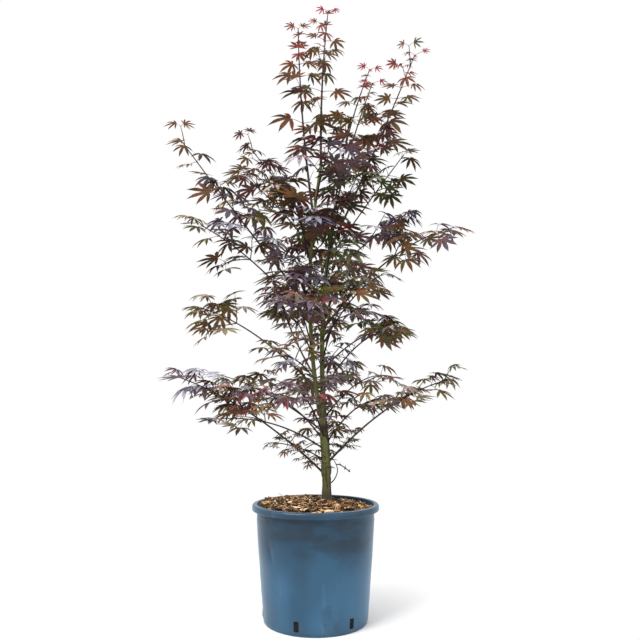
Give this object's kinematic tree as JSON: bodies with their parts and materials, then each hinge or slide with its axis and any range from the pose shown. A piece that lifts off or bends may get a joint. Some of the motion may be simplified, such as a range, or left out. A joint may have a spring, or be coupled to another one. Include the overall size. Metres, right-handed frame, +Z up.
{
  "type": "potted japanese maple",
  "caption": "Young Japanese maple with airy red, rust and green palmate leaves, in a round blue-grey plastic nursery pot filled with compost and bark.",
  "frame": {"origin": "centre of the pot's flat underside", "axes": "+Z up the plant, -Y the front, +X to the right seen from the front"},
  "size_m": [0.7507, 0.5715, 1.4651],
  "materials": {
    "pot": "satin blue-grey moulded plastic, scuffed and dusty near the foot",
    "compost": "loose brown, tan and rust bark chips over dark compost",
    "bark": "thin olive-green bark, grey-brown towards the foot",
    "leaves_young": "thin young leaves, crimson to rust",
    "leaves_mature": "thin leaves, maroon and purple-brown with some olive",
    "leaves_shaded": "thin leaves, olive and green-brown with a lilac sheen"
  },
  "bodies": {
    "root": {"pot": "pot", "compost": "compost", "trunk": "bark", "left_stem": "bark", "right_stem": "bark", "dead_twig": "bark", "left_leader_bough": "bark", "right_leader_bough": "bark", "left_long_bough": "bark", "right_upper_bough": "bark", "back_upper_bough": "bark", "left_shoulder_bough": "bark", "left_inner_bough": "bark", "left_middle_bough": "bark", "right_long_bough": "bark", "right_middle_bough": "bark", "back_middle_bough": "bark", "left_low_bough": "bark", "left_skirt_bough": "bark", "right_low_bough": "bark", "back_low_bough": "bark", "top_leader_leaves": "leaves_young", "left_leader_leaves": "leaves_young", "inner_leader_leaves": "leaves_young", "front_leader_leaves": "leaves_young", "right_leader_leaves": "leaves_young", "left_high_leaves": "leaves_mature", "left_upper_leaves": "leaves_mature", "left_long_leaves": "leaves_mature", "crown_front_leaves": "leaves_mature", "crown_back_leaves": "leaves_mature", "right_high_leaves": "leaves_mature", "crown_right_leaves": "leaves_mature", "right_upper_leaves": "leaves_mature", "front_high_leaves": "leaves_mature", "front_upper_leaves": "leaves_mature", "back_upper_leaves": "leaves_mature", "left_shoulder_leaves": "leaves_mature", "left_inner_leaves": "leaves_mature", "left_middle_leaves": "leaves_mature", "right_long_leaves": "leaves_mature", "right_drop_leaves": "leaves_mature", "right_middle_leaves": "leaves_shaded", "right_shoulder_leaves": "leaves_shaded", "front_middle_leaves": "leaves_mature", "front_inner_leaves": "leaves_mature", "front_lean_leaves": "leaves_shaded", "back_middle_leaves": "leaves_mature", "back_inner_leaves": "leaves_mature", "left_low_leaves": "leaves_shaded", "left_skirt_leaves": "leaves_shaded", "left_back_leaves": "leaves_shaded", "right_low_leaves": "leaves_shaded", "right_skirt_leaves": "leaves_shaded", "front_low_leaves": "leaves_shaded", "back_low_leaves": "leaves_shaded", "back_left_leaves": "leaves_shaded", "back_right_leaves": "leaves_shaded", "foot_spray_leaves": "leaves_shaded"}
  },
  "joints": []
}
